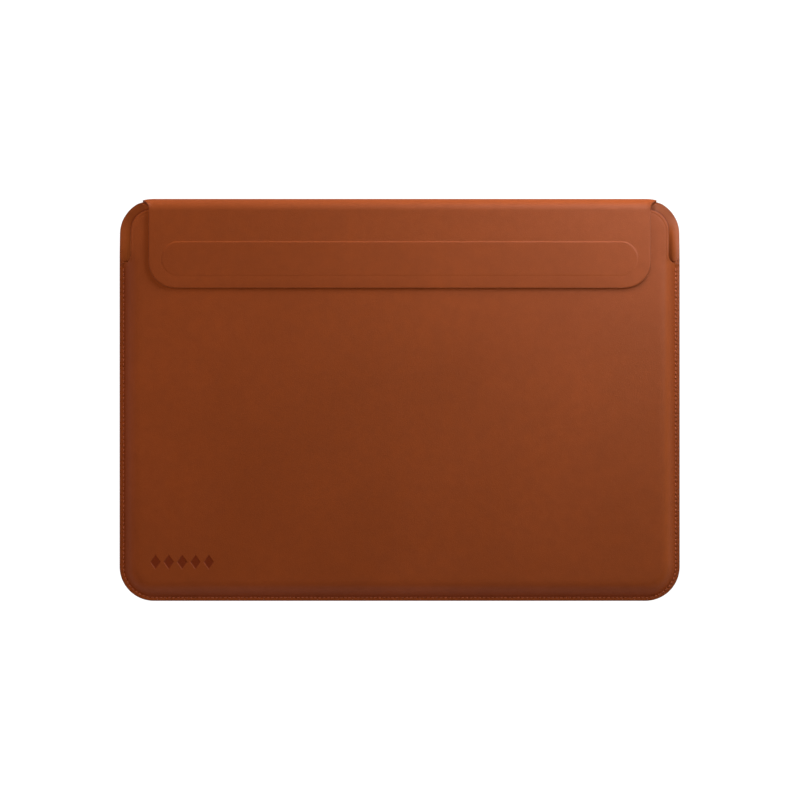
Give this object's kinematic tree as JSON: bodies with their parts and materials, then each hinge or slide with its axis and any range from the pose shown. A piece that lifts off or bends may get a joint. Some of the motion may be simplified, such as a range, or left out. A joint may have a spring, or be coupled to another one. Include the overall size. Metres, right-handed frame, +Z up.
{
  "type": "laptop sleeve",
  "caption": "Slim leather laptop sleeve with a padded pocket, a stitched rim and a short flap that folds over the top edge and closes on hidden magnets",
  "frame": {"origin": "centre of the bounding box's underside, where the sleeve lies on its back", "axes": "+X along the width, +Y towards the folded top edge, +Z up through the front panel and the flap"},
  "size_m": [0.32, 0.2294, 0.0198],
  "materials": {
    "leather": "smooth fine-grain brown leather, satin",
    "facing_leather": "thin brown leather lining, matt",
    "board": "grey bookbinding board",
    "foam": "closed-cell foam sheet, dark",
    "lining": "brushed microfibre, dark brown",
    "tape": "woven reinforcing tape",
    "edge_paint": "dark brown edge paint, satin",
    "carrier": "flexible black plastic strip",
    "magnet": "nickel plating",
    "thread": "waxed brown thread"
  },
  "bodies": {
    "sleeve": {"front_leather": "leather", "front_board": "board", "front_foam": "foam", "front_lining": "lining", "front_magnet_carrier": "carrier", "front_magnets": "magnet", "front_edge_paint": "edge_paint", "back_leather": "leather", "back_board": "board", "back_foam": "foam", "back_lining": "lining", "back_facing": "facing_leather", "back_fold_tape": "tape", "rim_edge_paint": "edge_paint", "seam_thread": "thread"},
    "spine": {"spine_leather": "leather", "spine_fold_tape": "tape", "spine_facing": "facing_leather"},
    "flap": {"flap_leather": "leather", "flap_board": "board", "flap_magnet_carrier": "carrier", "flap_magnets": "magnet", "flap_fold_tape": "tape", "flap_facing": "facing_leather", "flap_edge_paint": "edge_paint"}
  },
  "joints": [
    {"name": "lower_fold", "type": "hinge", "parent": "sleeve", "child": "spine", "pos_m": [0, 0.11335, 0.0014], "axis": [-1, 0, 0], "range_deg": [0, 90]},
    {"name": "upper_fold", "type": "hinge", "parent": "spine", "child": "flap", "pos_m": [0, 0.11335, 0.0181], "axis": [-1, 0, 0], "range_deg": [0, 89]}
  ]
}
